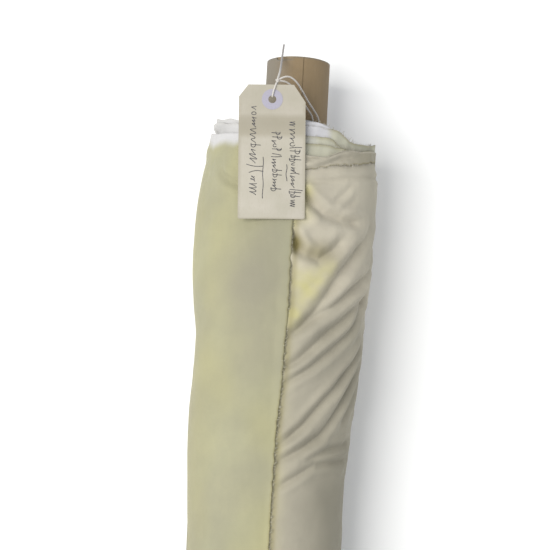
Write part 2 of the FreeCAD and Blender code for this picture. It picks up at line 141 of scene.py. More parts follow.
class Shader:
    """A Principled material built up from small node recipes."""

    def __init__(self, name):
        self.material = bpy.data.materials.new(name)
        self.material.use_nodes = True
        self.tree = self.material.node_tree
        self.bsdf = self.tree.nodes["Principled BSDF"]

    def node(self, kind, **settings):
        made = self.tree.nodes.new(kind)
        for key, value in settings.items():
            setattr(made, key, value)
        return made

    def link(self, a, b):
        self.tree.links.new(a, b)

    def surface(self, roughness=0.8, sheen=0.0, sheen_roughness=0.5, specular=0.3):
        self.bsdf.inputs["Roughness"].default_value = roughness
        self.bsdf.inputs["Sheen Weight"].default_value = sheen
        self.bsdf.inputs["Sheen Roughness"].default_value = sheen_roughness
        self.bsdf.inputs["Specular IOR Level"].default_value = specular

    def coordinates(self, scale=(1, 1, 1), uv=False):
        source = self.node("ShaderNodeTexCoord")
        mapping = self.node("ShaderNodeMapping")
        mapping.inputs["Scale"].default_value = scale
        self.link(source.outputs["UV" if uv else "Object"], mapping.inputs["Vector"])
        return mapping.outputs["Vector"]

    def noise(self, vector, scale, detail=2.0, roughness=0.5):
        made = self.node("ShaderNodeTexNoise")
        made.inputs["Scale"].default_value = scale
        made.inputs["Detail"].default_value = detail
        made.inputs["Roughness"].default_value = roughness
        self.link(vector, made.inputs["Vector"])
        return made.outputs["Fac"]

    def steps(self, value, low, high, most=1.0):
        """Maps value so that low gives 0 and high gives most."""
        made = self.node("ShaderNodeMapRange")
        made.inputs["From Min"].default_value = low
        made.inputs["From Max"].default_value = high
        made.inputs["To Max"].default_value = most
        self.link(value, made.inputs["Value"])
        return made.outputs["Result"]

    def mix(self, share, a, b):
        made = self.node("ShaderNodeMix", data_type="RGBA")
        self.link(share, made.inputs["Factor"])
        for socket, value in ((made.inputs[6], a), (made.inputs[7], b)):
            if isinstance(value, tuple):
                socket.default_value = (*value, 1)
            else:
                self.link(value, socket)
        return made.outputs[2]

    def worn(self, colour, label, shown):
        """Shows another colour where the mesh's attribute asks for it."""
        made = self.node("ShaderNodeAttribute", attribute_name=label)
        return self.mix(made.outputs["Fac"], colour, shown)

    def bump(self, height, distance, strength=1.0, below=None):
        made = self.node("ShaderNodeBump")
        made.inputs["Strength"].default_value = strength
        made.inputs["Distance"].default_value = distance
        self.link(height, made.inputs["Height"])
        if below is not None:
            self.link(below, made.inputs["Normal"])
        return made.outputs["Normal"]

    def finish(self, colour, normal=None):
        self.link(colour, self.bsdf.inputs["Base Color"])
        if normal is not None:
            self.link(normal, self.bsdf.inputs["Normal"])
        return self.material


# The velvet's colours where it is discoloured; the dust colour and the dark backing colour also serve as
# painted shade.
SELVEDGE = (0.55, 0.545, 0.57)
BACKING_AND_SHADE = (0.205, 0.175, 0.07)
DUST_AND_SHADE = (0.248, 0.232, 0.182)
SOOT = (0.22, 0.20, 0.14)


def velvet(name, body, shade, yellow):
    """Cotton velvet: mottled nap and fine pile; yellow, white, grey-brown and bare dark parts come from
    attributes, the grey-brown and dark ones partly painted shade.
    """
    paint = Shader(name)
    flat = paint.coordinates(uv=True)
    nap = paint.noise(flat, 26.0, 3.0, 0.55)
    brushed = paint.noise(paint.coordinates((1.0, 0.22, 1.0), uv=True), 75.0, 3.0, 0.6)
    colour = paint.mix(paint.steps(nap, 0.36, 0.64), body, shade)
    colour = paint.mix(paint.steps(brushed, 0.35, 0.7, 0.4), colour, shade)
    colour = paint.worn(colour, "warm", yellow)
    colour = paint.worn(colour, "plain", SELVEDGE)
    # Grey-brown for dust and for painted shade, then dark backing for bare cut edges and for painted
    # shade.
    colour = paint.worn(colour, "dusty", DUST_AND_SHADE)
    colour = paint.worn(colour, "bare", BACKING_AND_SHADE)
    pile = paint.noise(flat, 1500.0, 2.0, 0.7)
    colour = paint.mix(paint.steps(pile, 0.3, 0.7, 0.18), colour, SOOT)
    paint.surface(roughness=0.92, sheen=0.22, sheen_roughness=0.4, specular=0.1)
    paint.bsdf.inputs["Sheen Tint"].default_value = (1.0, 0.97, 0.86, 1)
    soft = paint.bump(nap, 0.0014)
    return paint.finish(colour, paint.bump(pile, 0.00025, 1.0, soft))


def threads(name, body, deep):
    paint = Shader(name)
    twist = paint.noise(paint.coordinates(), 900.0, 2.0)
    paint.surface(roughness=0.9, sheen=0.2, specular=0.15)
    colour = paint.mix(paint.steps(twist, 0.35, 0.65), body, deep)
    return paint.finish(colour, paint.bump(twist, 0.0001))


def cotton_string():
    """White cotton string: the plies are in the mesh, the fibres here, and painted shade greys the tail's
    free end.
    """
    paint = Shader("cotton_string")
    fibre = paint.noise(paint.coordinates(), 2600.0, 3.0, 0.6)
    colour = paint.mix(paint.steps(fibre, 0.35, 0.7), (0.62, 0.59, 0.55), (0.42, 0.39, 0.365))
    colour = paint.worn(colour, "grey", (0.24, 0.225, 0.225))
    paint.surface(roughness=0.85, sheen=0.25, specular=0.2)
    return paint.finish(colour, paint.bump(fibre, 0.00008))


def kraft(name, body, deep, grey):
    """Kraft paper and board: long fibres, clouds and specks; worn parts and a paler left side come from an
    attribute.
    """
    paint = Shader(name)
    along = paint.coordinates((1.0, 0.12, 1.0))
    fibres = paint.noise(along, 420.0, 4.0, 0.65)
    cloud = paint.noise(paint.coordinates(), 24.0, 3.0, 0.5)
    specks = paint.noise(paint.coordinates(), 700.0, 1.0)
    colour = paint.mix(paint.steps(cloud, 0.35, 0.65), body, deep)
    colour = paint.mix(paint.steps(fibres, 0.35, 0.7, 0.5), colour, deep)
    colour = paint.mix(paint.steps(specks, 0.62, 0.75, 0.5), colour, (0.22, 0.17, 0.11))
    colour = paint.worn(colour, "plain", grey)
    paint.surface(roughness=0.72, specular=0.25)
    return paint.finish(colour, paint.bump(fibres, 0.00012, 0.6))


def manila():
    """Manila card: pale buff with small fibres; darker edges and upper part, and painted shade across the
    bend, come from an attribute.
    """
    paint = Shader("manila_card")
    fibres = paint.noise(paint.coordinates((1.0, 0.3, 1.0)), 900.0, 3.0, 0.6)
    cloud = paint.noise(paint.coordinates(), 45.0, 3.0, 0.5)
    colour = paint.mix(paint.steps(cloud, 0.35, 0.65), (0.43, 0.40, 0.34), (0.39, 0.365, 0.30))
    colour = paint.mix(paint.steps(fibres, 0.5, 0.75, 0.3), colour, (0.35, 0.315, 0.25))
    colour = paint.worn(colour, "plain", (0.27, 0.24, 0.175))
    paint.surface(roughness=0.66, specular=0.3)
    return paint.finish(colour, paint.bump(fibres, 0.00006))


def paper(name, body, deep):
    paint = Shader(name)
    fibres = paint.noise(paint.coordinates(), 1300.0, 3.0)
    paint.surface(roughness=0.6, specular=0.3)
    colour = paint.mix(paint.steps(fibres, 0.3, 0.7), body, deep)
    return paint.finish(colour, paint.bump(fibres, 0.00004))


def ink():
    paint = Shader("pen_ink")
    faded = paint.noise(paint.coordinates(), 800.0, 2.0)
    paint.surface(roughness=0.5, specular=0.35)
    colour = paint.mix(paint.steps(faded, 0.4, 0.7), (0.035, 0.035, 0.045), (0.13, 0.125, 0.14))
    return paint.finish(colour)


# ---------------------------------------------------------------- mesh helpers


def curve_through(points):
    """A smooth function through (x, y) points: a cubic whose slopes come from the neighbours."""
    x = np.array([p[0] for p in points], float)
    y = np.array([p[1] for p in points], float)
    slope = np.gradient(y, x)
    flat = np.sign(np.diff(y)[:-1]) != np.sign(np.diff(y)[1:])
    slope[1:-1][flat] = 0

    def value(at):
        at = np.clip(at, x[0], x[-1])
        k = np.clip(np.searchsorted(x, at) - 1, 0, len(x) - 2)
        width = x[k + 1] - x[k]
        t = (at - x[k]) / width
        return (
            y[k] * (1 + 2 * t) * (1 - t) ** 2
            + slope[k] * width * t * (1 - t) ** 2
            + y[k + 1] * t * t * (3 - 2 * t)
            + slope[k + 1] * width * t * t * (t - 1)
        )

    return value


def smooth(t):
    t = np.clip(t, 0, 1)
    return t * t * (3 - 2 * t)


def wave_noise(seed, u, v, size, octaves=3):
    """Smooth noise from -1 to 1: a sum of plane waves in random directions, about size long."""
    draw = np.random.default_rng(seed)
    total = np.zeros(np.broadcast(u, v).shape)
    for octave in range(octaves):
        for _ in range(5):
            angle, phase = draw.uniform(0, 2 * math.pi, 2)
            turns = 2 * math.pi * 2**octave / (size * draw.uniform(0.7, 1.4))
            total += np.sin((u * math.cos(angle) + v * math.sin(angle)) * turns + phase) / 2**octave
    return total / (2.2 * math.sqrt(5))


def bell(x):
    """1 at x = 0, falling to nothing on both sides."""
    return np.exp(-(x**2))


def new_object(name, vertices, faces, material):
    mesh = bpy.data.meshes.new(name)
    mesh.from_pydata(vertices.tolist(), [], faces)
    mesh.materials.append(material)
    made = add_object(name, mesh)
    mesh.shade_smooth()
    return made


def put_attribute(made, name, values):
    made.data.attributes.new(name, "FLOAT", "POINT").data.foreach_set("value", values.astype(np.float32))


def put_uv(made, uv):
    """Gives every face corner its vertex's place on the flat cloth, in metres."""
    corners = np.zeros(len(made.data.loops), np.int32)
    made.data.loops.foreach_get("vertex_index", corners)
    layer = made.data.uv_layers.new(name="flat")
    layer.data.foreach_set("uv", uv[corners].astype(np.float32).ravel())


def grid_normals(points):
    along = np.gradient(points, axis=0)
    across = np.gradient(points, axis=1)
    normals = np.cross(along, across)
    return normals / np.maximum(np.linalg.norm(normals, axis=2, keepdims=True), 1e-12)


def cloth_arrays(points, thickness, inward):
    """A closed sheet: the given grid is its outer face, and inward its direction of thickness."""
    rows, columns = points.shape[:2]
    inner = points + inward * thickness
    vertices = np.concatenate([points.reshape(-1, 3), inner.reshape(-1, 3)])
    number = np.arange(rows * columns).reshape(rows, columns)
    behind = number + rows * columns
    quads = [
        np.stack([number[:-1, :-1], number[1:, :-1], number[1:, 1:], number[:-1, 1:]], -1).reshape(-1, 4),
        np.stack([behind[:-1, :-1], behind[:-1, 1:], behind[1:, 1:], behind[1:, :-1]], -1).reshape(-1, 4),
    ]
    border = np.concatenate([number[0, :], number[1:, -1], number[-1, -2::-1], number[-2::-1, 0]])
    shifted = border + rows * columns
    quads.append(np.stack([border[:-1], border[1:], shifted[1:], shifted[:-1]], -1))
    return vertices, np.concatenate(quads)


def grid_uv(points):
    """Distance along each direction of the grid, in metres."""
    step_u = np.linalg.norm(np.diff(points, axis=0), axis=2).mean(axis=1)
    u = np.concatenate([[0], np.cumsum(step_u)])
    v = points[:, :, 1]
    return np.stack([np.broadcast_to(u[:, None], v.shape), v], -1).reshape(-1, 2)


# The attributes a cloth can carry; the bare dark and grey-brown ones also hold painted shade.
COATS = ("warm", "plain", "bare", "dusty")


def build_cloth(name, points, thickness, material, outward=True, **coats):
    """A sheet of cloth from its outer grid of points in metres, with its discoloured parts and painted
    shade.
    """
    inward = grid_normals(points) * (-1 if outward else 1)
    vertices, quads = cloth_arrays(points, thickness, inward)
    if not outward:
        quads = quads[:, ::-1]
    made = new_object(name, vertices, quads.tolist(), material)
    uv = grid_uv(points)
    put_uv(made, np.concatenate([uv, uv + [0.37, 0.21]]))
    for label in COATS:
        values = np.broadcast_to(coats.get(label, 0.0), points.shape[:2])
        put_attribute(made, label, np.concatenate([values.ravel(), values.ravel()]))
    return made


def join_arrays(parts):
    """One vertex array and one face list from several."""
    vertices, faces, start = [], [], 0
    for points, quads in parts:
        vertices.append(points)
        faces += (np.asarray(quads) + start).tolist()
        start += len(points)
    return np.concatenate(vertices), faces


def ring_points(centre, a, b, radius, around):
    """A ring of points round centre, in the plane of a and b."""
    turn = np.linspace(0, 2 * math.pi, around, endpoint=False)[:, None]
    return centre + radius * (np.cos(turn) * a + np.sin(turn) * b)


def ring_quads(count, around, closed=False):
    """The faces between neighbouring rings of points; closed also joins the last ring to the first."""
    return [
        [k * around + j, k * around + (j + 1) % around,
         (k + 1) % count * around + (j + 1) % around, (k + 1) % count * around + j]
        for k in range(count if closed else count - 1) for j in range(around)
    ]


def ring_caps(count, around):
    """The faces that close the first and the last ring."""
    return [list(range(around))[::-1], [(count - 1) * around + j for j in range(around)]]


def hair_arrays(roots, tips, sideways, width):
    """Tapered three-sided threads from roots to tips, bowed sideways."""
    parts = []
    for root, tip, bow in zip(roots, tips, sideways):
        way = (tip - root) / np.linalg.norm(tip - root)
        a = np.cross(way, [0.31, 0.77, 0.55])
        a /= np.linalg.norm(a)
        b = np.cross(way, a)
        rings = []
        for t in np.linspace(0, 1, 4):
            centre = root + (tip - root) * t + bow * (4 * t * (1 - t))
            rings.append(ring_points(centre, a, b, width * (1 - 0.5 * t) / 2, 3))
        parts.append((np.concatenate(rings), ring_quads(4, 3)))
    return parts


def hair_object(name, parts, material):
    """Threads as one object, with their two ends closed."""
    vertices, faces = join_arrays(parts)
    ends = []
    for start in range(0, len(vertices), 12):
        ends += [[start + 2, start + 1, start], [start + 9, start + 10, start + 11]]
    return new_object(name, vertices, faces + ends, material)


# ---------------------------------------------------------------- the roll's shape, in mm and degrees

# Radius about the tube's axis at places along the roll: (along, radius). FREE_EDGE gives (along, distance
# to the right of the axis) instead.
WOUND = curve_through([
    (-685, 62.4), (-620, 62.0), (-540, 60.2), (-440, 55.4), (-330, 53.4), (280, 52.8), (380, 53.0),
    (460, 56.8), (540, 60.6), (620, 62.0), (690, 62.0),
])
RIGHT = curve_through([
    (-685, 68.0), (-620, 67.6), (-540, 65.6), (-430, 60.4), (-300, 58.2), (0, 57.6), (300, 57.2),
    (363, 56.6), (412, 58.4), (462, 62.6), (512, 66.5), (563, 69.0), (600, 71.0), (631, 71.8),
    (644, 70.6), (655, 69.2), (690, 69.2),
])
CROWN = curve_through([
    (-685, 67.2), (-620, 66.9), (-540, 65.2), (-430, 60.6), (-300, 58.6), (300, 58.2), (390, 59.6),
    (480, 63.6), (560, 66.6), (610, 67.3), (690, 67.4),
])
LEFT = curve_through([
    (-685, 75.0), (-640, 76.6), (-580, 77.0), (150, 77.0), (230, 73.6), (290, 69.6), (323, 68.6),
    (372, 71.0), (410, 73.4), (438, 74.0), (470, 72.6), (504, 72.2), (530, 75.6), (556, 78.2),
    (590, 78.6), (622, 76.8), (632, 75.6), (640, 74.4), (649, 72.7), (659, 72.5), (664, 71.2),
    (669, 70.5), (675, 69.4), (690, 68.6),
])
FLAP_CROWN = curve_through([
    (-685, 68.8), (-620, 68.5), (-540, 66.8), (-430, 62.2), (-300, 60.2), (300, 59.8), (390, 61.2),
    (480, 65.2), (560, 68.2), (610, 69.2), (645, 69.4), (662, 68.8), (670, 68.4), (690, 68.0),
])
FREE_EDGE = curve_through([
    (-685, -2.4), (-500, -1.4), (-300, -2.6), (-100, -1.6), (100, -2.6), (300, -2.1), (360, -2.3),
    (402, -1.9), (433, -1.6), (471, 0.8), (505, 1.4), (526, 2.5), (577, 2.3), (640, 2.6), (676, 2.0),
])
UNDERSIDE = 63.4  # the slack turn's radius underneath
FLOOR_GAP = 0.5
DEGREE = 1.15  # millimetres of slack cloth to a degree of turn


def round_section(angle, along):
    """The slack outer turn's radius: left side, underside, right, crown, left side and underside."""
    below = np.full_like(along, UNDERSIDE)
    knots = [
        (-180.0, LEFT(along)), (-90.0, below), (0.0, RIGHT(along)), (90.0, CROWN(along)),
        (180.0, LEFT(along)), (270.0, below),
    ]
    radius = np.zeros(np.broadcast(angle, along).shape)
    for (a, low), (b, high) in zip(knots, knots[1:]):
        share = smooth((angle - a) / (b - a))
        inside = (angle >= a) & (angle <= b)
        radius = np.where(inside, low + (high - low) * share, radius)
    return radius


def layer_radius(angle, along, level):
    """A layer between the tightly wound cloth, level 0, and the outside of the roll, level 1."""
    wound = WOUND(along)
    return wound + (round_section(angle, along) - wound) * level


def place(angle, radius, along):
    """A point in metres from its angle in degrees, radius and distance along in millimetres."""
    turn = np.radians(angle)
    x = radius * np.cos(turn)
    z = AXIS / MM + radius * np.sin(turn)
    return np.stack([x, np.broadcast_to(along, x.shape), np.maximum(z, FLOOR_GAP)], -1) * MM


def cloth_noise(seed, angle, along, size, octaves=3):
    """Smooth noise over the slack cloth's surface."""
    return wave_noise(seed, angle * DEGREE, along, size, octaves)


def patch(angle, along, centre, middle, spread, length):
    """1 at one place on the cloth, falling to nothing round it."""
    return np.exp(-(((angle - centre) / spread) ** 2) - ((along - middle) / length) ** 2)


# Creases of the slack outer turn: places (angle, along) along each, its depth and its width.
CREASES = [
    ([(20, 598), (27, 585), (48, 557), (59, 538), (70, 520), (82, 505)], 3.0, 4.2),
    ([(8, 572), (14, 562), (39, 542), (55, 527), (71, 514), (88, 499)], 2.6, 3.4),
    ([(10, 548), (31, 530), (44, 517), (62, 500), (78, 482), (90, 472)], 2.4, 3.2),
    ([(8, 556), (18, 540), (34, 511), (50, 494), (68, 477), (90, 460)], 2.2, 3.0),
    ([(6, 512), (20, 493), (41, 468), (53, 454), (72, 429), (90, 411)], 2.6, 3.0),
    ([(14, 488), (31, 461), (41, 443), (56, 423), (71, 411), (90, 399)], 2.6, 3.2),
    ([(10, 424), (26, 418), (48, 412), (70, 401)], 1.8, 2.6),
    ([(12, 410), (26, 405), (59, 400), (74, 389), (90, 378)], 2.0, 2.8),
    ([(90, 626), (79, 612), (66, 601), (51, 598), (34, 599)], 3.0, 3.8),
    ([(90, 580), (79, 568), (68, 564), (58, 572), (48, 584)], 2.5, 3.8),
    ([(38, 622), (46, 612), (56, 604)], 0.6, 2.4),
    ([(44, 630), (51, 621), (60, 611)], 0.6, 2.2),
    ([(-20, 520), (4, 478), (20, 452), (34, 430)], 1.5, 3.6),
    ([(-24, 610), (0, 590), (12, 574)], 1.6, 4.6),
]
SMALL_CREASES = [
    ([(100, 624), (80, 626), (63, 629), (51, 633), (33, 637), (0, 644), (-30, 648)], 0.9, 1.8),
    ([(92, 586), (87, 580), (84, 572), (85, 566)], 2.6, 3.8),
]
FLAP_CREASE = ([(146, 640), (142, 632), (138, 629), (133, 625), (124, 621)], 1.5, 2.6)


def crease_offset(angle, along, line, depth, width):
    """How far a crease sinks the cloth: a valley with a low ridge on each side, fading at its ends."""
    reach = 66.0 * math.pi / 180
    x, y = angle * reach, along
    best, share = np.full(np.broadcast(x, y).shape, 1e9), np.zeros(np.broadcast(x, y).shape)
    line = [(a * reach, b) for a, b in line]
    lengths = [math.dist(p, q) for p, q in zip(line, line[1:])]
    total, done = sum(lengths), 0.0
    for (x0, y0), (x1, y1), length in zip(line, line[1:], lengths):
        t = ((x - x0) * (x1 - x0) + (y - y0) * (y1 - y0)) / length**2
        t = np.clip(t, 0, 1)
        away = np.hypot(x - x0 - t * (x1 - x0), y - y0 - t * (y1 - y0))
        closer = away < best
        best = np.where(closer, away, best)
        share = np.where(closer, (done + t * length) / total, share)
        done += length
    fade = smooth(share / 0.22) * smooth((1 - share) / 0.12)
    valley = 0.55 * bell((best - 2.1 * width) / (1.2 * width)) - np.exp(-np.abs(best / width) ** 1.35)
    return 1.3 * depth * valley * (0.25 + 0.75 * fade) * np.exp(-((best / (9 * width)) ** 4))


def crumple(angle, along):
    """The slack cloth's creases and soft waves, which fade where it is held tight or out of sight."""
    seen = smooth((angle + 60) / 40) * smooth((106 - angle) / 8)
    reach = angle * DEGREE
    total = cloth_noise(63, angle, along, 70.0) * 0.8 * (0.4 + seen)
    drag = wave_noise(64, 0.64 * reach + 0.77 * along, (0.77 * reach - 0.64 * along) * 0.22, 15.0, 3)
    total = total + drag * 0.42 * seen * smooth((along - 372) / 30) * smooth((620 - along) / 20)
    for line, depth, width in CREASES + SMALL_CREASES:
        total = total + crease_offset(angle, along, line, depth, width)
    return total


def sink(angle, along):
    """How far the layers inside keep clear of the outer turn's deepest creases."""
    length = smooth((along - 355) / 25) * smooth((640 - along) / 25)
    return 4.6 * length * smooth((angle + 50) / 25) * smooth((125 - angle) / 20)


def spaced(stops):
    """Places from low to high with a step given for each stretch: (start, end, step)."""
    pieces = [np.arange(a, b, step) for a, b, step in stops]
    return np.concatenate(pieces + [[stops[-1][1]]])


def shares(stops):
    """The places as shares of their whole length, as one row."""
    return ((stops - stops[0]) / (stops[-1] - stops[0]))[None, :]


# ---------------------------------------------------------------- the cloth


TURNS = 44
OTHER_END = -684.0  # where the slack cloth stops at the end without the tag

# Where each layer stops at the tagged end, from the innermost visible one out: (angle, along).
WOUND_END = [
    (-180, 685), (-90, 682), (-20, 670), (5, 667), (32, 663), (44, 664), (53, 668), (62, 673),
    (82, 675), (110, 676), (134, 677), (158, 681), (180, 685),
]
LOOSE_ENDS = [
    [(-180, 686), (-90, 682), (-20, 668), (5, 667), (32, 664), (44, 665), (53, 669), (62, 674),
     (74, 677), (82, 676), (134, 678), (145, 680), (158, 682), (169, 685), (180, 686), (215, 686)],
    [(-180, 682), (-90, 680), (-20, 672), (0, 672), (27, 666), (38, 665), (47, 667), (54, 671),
     (66, 672), (82, 673), (110, 673), (132, 674), (139, 676), (149, 677), (159, 680), (170, 681),
     (215, 682)],
    [(-180, 676), (-90, 672), (-10, 664), (20, 661), (45, 658), (55, 660), (61, 663), (82, 664),
     (100, 664), (130, 664), (160, 668), (215, 672)],
    [(-180, 672), (-90, 669), (0, 666), (31, 660), (45, 657), (52, 658), (65, 658), (86, 658),
     (110, 658), (150, 662), (215, 668)],
]
LEVELS = [0.12, 0.30, 0.47, 0.64]  # where each loose turn lies: see layer_radius
LEVEL_STEP = 0.17  # how far it winds outward in one turn
WHITE_FROM = (44, 60, 70, 118)  # the angle at which each one's white selvedge begins
FOLD_END = [
    (-180, 668), (-90, 666), (-20, 664), (11, 663), (32, 658), (46, 656), (55, 654), (61, 651),
    (66, 648), (73, 647), (86, 647), (105, 647), (215, 652),
]
HEM_END = [
    (-180, 657), (-90, 655), (-10, 655), (19, 653), (38, 647), (50, 644), (61, 642), (66, 640),
    (73, 638), (81, 636), (105, 635), (215, 640),
]
HEM_RIDGE = [(88, 638), (81, 640), (77, 641), (72, 644), (65, 648), (56, 653), (45, 655)]
FLAP_END = [(80, 666), (131, 666), (146, 668), (155, 669), (169, 672), (180, 674)]
FLAP_DYED = [(80, 655), (129, 655), (146, 654), (158, 656), (180, 661)]


def build_rolled_cloth(material):
    """The inner turns as the spiral that they are, each turn's selvedge a little in or out of line."""
    draw = np.random.default_rng(11)
    per_turn = 48
    count = TURNS * per_turn + 1
    wind = np.linspace(0, TURNS, count)
    angle = 215.0 - wind * 360.0
    inner = TUBE_RADIUS / MM + 0.5
    step = np.repeat(draw.normal(0, 0.45, (TURNS + 1, 2)), per_turn, axis=0)[:count]
    drift = np.stack([wave_noise(s, wind * 9.0, 0.0, 30.0) for s in (3, 4)], -1)
    reach = smooth((wind / TURNS * (62.0 - inner) - 1.5) / 12.0)
    slope = curve_through(WOUND_END)((angle + 180.0) % 360.0 - 180.0) - CLOTH_END / MM
    tagged = CLOTH_END / MM - 0.6 + slope * reach + np.minimum(step[:, 0] + drift[:, 0], 1.0)
    other = 1.4 - CLOTH_END / MM + step[:, 1] * 0.6 + drift[:, 1]
    rows = [(other, 0.0), (other, 1.2), (other, 9.0)]
    for value in (-620.0, -540.0, -440.0, -330.0, 280.0, 350.0, 385.0, 460.0, 540.0, 610.0, 645.0):
        rows.append((np.full(count, value), 0.0))
    rows += [(tagged, -9.0), (tagged, -1.2), (tagged, 0.0)]
    along = np.stack([line + shift for line, shift in rows], -1)
    share = (wind / TURNS)[:, None]
    radius = inner + (WOUND(along) - inner) * share
    radius += wave_noise(7, wind[:, None] * 190.0, along, 160.0, 2) * 0.12
    shown = (angle[:, None] + 180.0) % 360.0 - 180.0
    radius -= sink(shown, along) * share**3
    points = place(angle[:, None], radius, along)
    white = smooth((np.abs(along) - 655.0) / 3.0)
    made = build_cloth("rolled_cloth", points, WOUND_PLY, material, plain=white)
    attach(made, "roll")
    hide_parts("velvet_windings")


def flare(angle, along, centre, spread, height, start):
    """Lets a layer's edge stand out over one stretch of the turn."""
    return height * bell((angle - centre) / spread) * smooth((along - start) / 6.0)


# Where the slack turns stand out at the tagged end: which turn, then what flare() asks for.
FLARES = [
    (0, 180.0, 40.0, 3.4, 673.0), (1, 180.0, 34.0, 4.4, 673.0), (1, 2.0, 18.0, 3.6, 660.0),
    (3, 4.0, 18.0, 0.9, 658.0),
]


def loose_turn_grid(number):
    """One slack turn: its angles, its places along the roll, its tagged edge and its radii."""
    angle = spaced([(-152, -20, 4.0), (-20, 100, 1.3), (100, 208, 3.0)])[::-1, None]
    tagged = curve_through(LOOSE_ENDS[number])(angle) + wave_noise(20 + number, angle, 0.0, 24.0, 4) * 0.9
    other = OTHER_END + 0.5 + number * 0.7 + wave_noise(30 + number, angle, 0.0, 50.0) * 1.5
    share = spaced([(0, 0.04, 0.01), (0.04, 0.74, 0.06), (0.74, 0.915, 0.02), (0.915, 1, 0.0018)])
    along = other + (tagged - other) * share[None, :]
    turn = (208.0 - angle) / 360.0
    radius = layer_radius(angle, along, LEVELS[number] + LEVEL_STEP * (turn - 0.33))
    radius += cloth_noise(40 + number, angle, along, 60.0, 2) * 0.3
    last = smooth((along - tagged + 16) / 12)
    radius += last * cloth_noise(50 + number, angle, along * 0.35, 22.0) * 0.75
    radius -= sink(angle, along)
    for which, centre, spread, height, start in FLARES:
        if which == number:
            radius += flare(angle, along, centre, spread, height, start)
    return angle, along, tagged, radius


def loose_turn_coats(number, angle, along, tagged):
    """White selvedge from the crown leftward, a cut edge darkened for its bare backing and for painted
    shade, and random dullness with painted shade further in, under the outer turn.
    """
    white = smooth((angle - WHITE_FROM[number]) / 7) * smooth((along - 655.0) / 3.0)
    white = white * (0.35 if number > 1 else 1 - 0.2 * smooth((angle - 110) / 20))
    white = np.maximum(white, other_selvedge(along))
    cut = smooth((1.3 - (tagged - along)) / 1.0)
    # Random dullness, and painted shade under the outer turn below about 620 mm along.
    dull = 0.05 + 0.2 * wave_noise(55 + number, angle, along, 30.0, 2) + 0.5 * smooth((620 - along) / 20)
    return {"plain": white, "bare": 0.5 * cut * (1 - white), "dusty": np.clip(dull, 0, 1) * (1 - white)}


def other_selvedge(along, start=-671.0):
    """Where the cloth is white along its edge at the end without the tag."""
    return smooth((start - along) / 4.0)


def build_loose_turns(material):
    """Four slack turns under the outer one, which stop short of each other at the tagged end."""
    parts, uvs, coats = [], [], {label: [] for label in COATS}
    for number in range(len(LOOSE_ENDS)):
        angle, along, tagged, radius = loose_turn_grid(number)
        points = place(angle, radius, along)
        parts.append(cloth_arrays(points, LOOSE_PLY, -grid_normals(points)))
        marks = loose_turn_coats(number, angle, along, tagged)
        for label in COATS:
            values = np.broadcast_to(marks.get(label, 0.0), along.shape).ravel()
            coats[label] += [values, values]
        uvs += [grid_uv(points), grid_uv(points) + 0.3]
    made = new_object("loose_turns", *join_arrays(parts), material)
    put_uv(made, np.concatenate(uvs))
    for label, values in coats.items():
        put_attribute(made, label, np.concatenate(values))
    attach(made, "roll")


def hem_rows(fold, hem):
    """The raw hem: rows over the fold and back down to the cut edge, with their height over the turn."""
    tip = np.linspace(-math.pi / 2, math.pi / 2, 5)[None, :]
    back = np.linspace(0, 1, 14)[None, 1:] ** 1.2
    under = fold - 0.3 + (hem - fold + 0.3) * back
    along = np.concatenate([fold - 0.3 + 0.3 * np.cos(tip), under], axis=1)
    lift = np.concatenate([0.12 + 0.12 * np.sin(tip), 0.24 + 0.3 * np.sin(3.1 * back)], axis=1)
    folded = np.concatenate([tip * 0 + 0.5, back * 0 + 1.0], axis=1)
    return along, lift + fold * 0, folded + fold * 0


def outer_turn_grid():
    """The outer turn: its angles, places along the roll, raw edge, share of hem, and radii."""
    angle = spaced([(-180, -60, 4.0), (-60, -20, 2.0), (-20, 102, 1.0), (102, 208, 5.0)])[::-1, None]
    fold = curve_through(FOLD_END)(angle) + wave_noise(61, angle, 0.0, 22.0, 4) * 0.8
    hem = curve_through(HEM_END)(angle) + wave_noise(65, angle, 0.0, 9.0, 4)
    other = OTHER_END + wave_noise(62, angle, 0.0, 60.0) * 1.4
    stops = spaced([(-685, -640, 4.5), (-640, 340, 45.0), (340, 380, 5.0), (380, 655, 1.45)])
    flat_part = other + (fold - 0.3 - other) * shares(stops)
    over, lift, folded = hem_rows(fold, hem)
    along = np.concatenate([flat_part, over], axis=1)
    free = smooth((angle + 172) / 25)
    lift = np.concatenate([flat_part * 0, lift * smooth((122 - angle) / 20) * free], axis=1)
    folded = np.concatenate([flat_part * 0, folded], axis=1)
    level = layer_radius(angle, along, 0.83 + 0.17 * smooth((165 - angle) / 70))
    radius = level + crumple(angle, along)
    radius = radius - 1.8 * smooth((-130 - angle) / 30) * smooth((along - 620) / 25)
    limit = level - 1.0 * smooth((along - 615) / 15)
    radius = radius - smooth((angle - 88) / 5) * np.maximum(radius - limit, 0)
    ridge = crease_offset(angle, along, HEM_RIDGE, -1.7, 2.0) + cloth_noise(66, angle, along, 13.0) * 0.55
    radius = radius + lift + folded * ridge * smooth((118 - angle) / 20) * free
    radius = radius - 1.9 * folded * smooth((26 - angle) / 24)
    radius = np.where(np.abs(angle - 88) < 18, np.minimum(radius, 70.4), radius)
    return angle, along, hem, folded, radius


